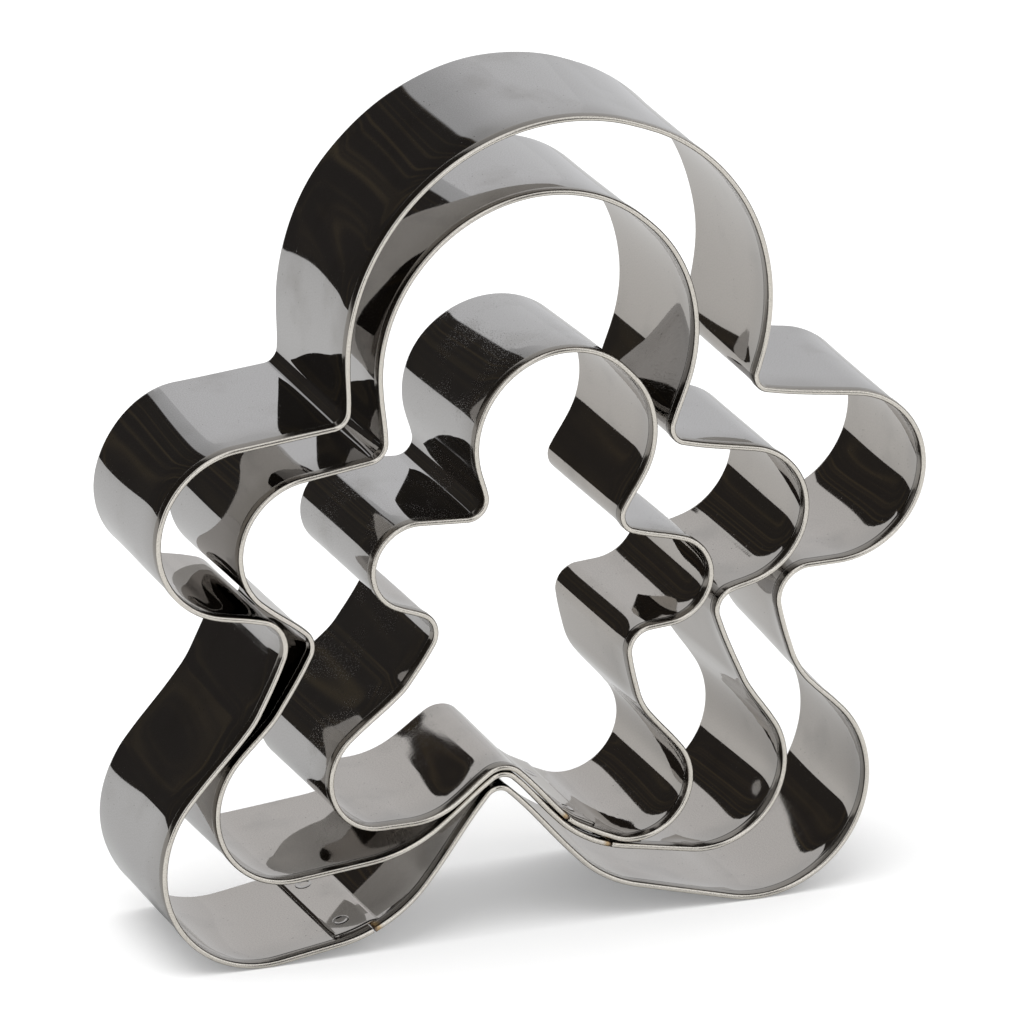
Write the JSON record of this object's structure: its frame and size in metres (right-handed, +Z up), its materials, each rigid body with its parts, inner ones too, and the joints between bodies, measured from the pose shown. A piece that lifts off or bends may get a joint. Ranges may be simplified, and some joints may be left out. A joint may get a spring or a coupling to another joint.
{
  "type": "nested cookie cutter set",
  "caption": "Nested gingerbread-figure cookie cutters in bent sheet steel, each with a folded rim, a raw cutting edge and a spot-welded lap seam.",
  "frame": {"origin": "on the floor, under the middle between the large cutter's hands and halfway along the strips' width", "axes": "+Z up through the figures' heads, -Y towards the folded rims, +X towards the figures' right side as seen from the rims"},
  "size_m": [0.1164, 0.025, 0.1212],
  "materials": {
    "strip_steel": "polished stainless strip",
    "weld_steel": "pressed and faintly heat-tinted steel"
  },
  "bodies": {
    "large": {"large_strip": "strip_steel", "large_weld_front": "weld_steel", "large_weld_back": "weld_steel"},
    "medium": {"medium_strip": "strip_steel", "medium_weld_front": "weld_steel", "medium_weld_back": "weld_steel"},
    "small": {"small_strip": "strip_steel", "small_weld_front": "weld_steel", "small_weld_back": "weld_steel"}
  },
  "joints": [
    {"name": "medium_lift_out", "type": "slide", "parent": "large", "child": "medium", "axis": [0, -1, 0], "range_m": [0, 0.05]},
    {"name": "small_lift_out", "type": "slide", "parent": "medium", "child": "small", "axis": [0, -1, 0], "range_m": [0, 0.05]}
  ]
}
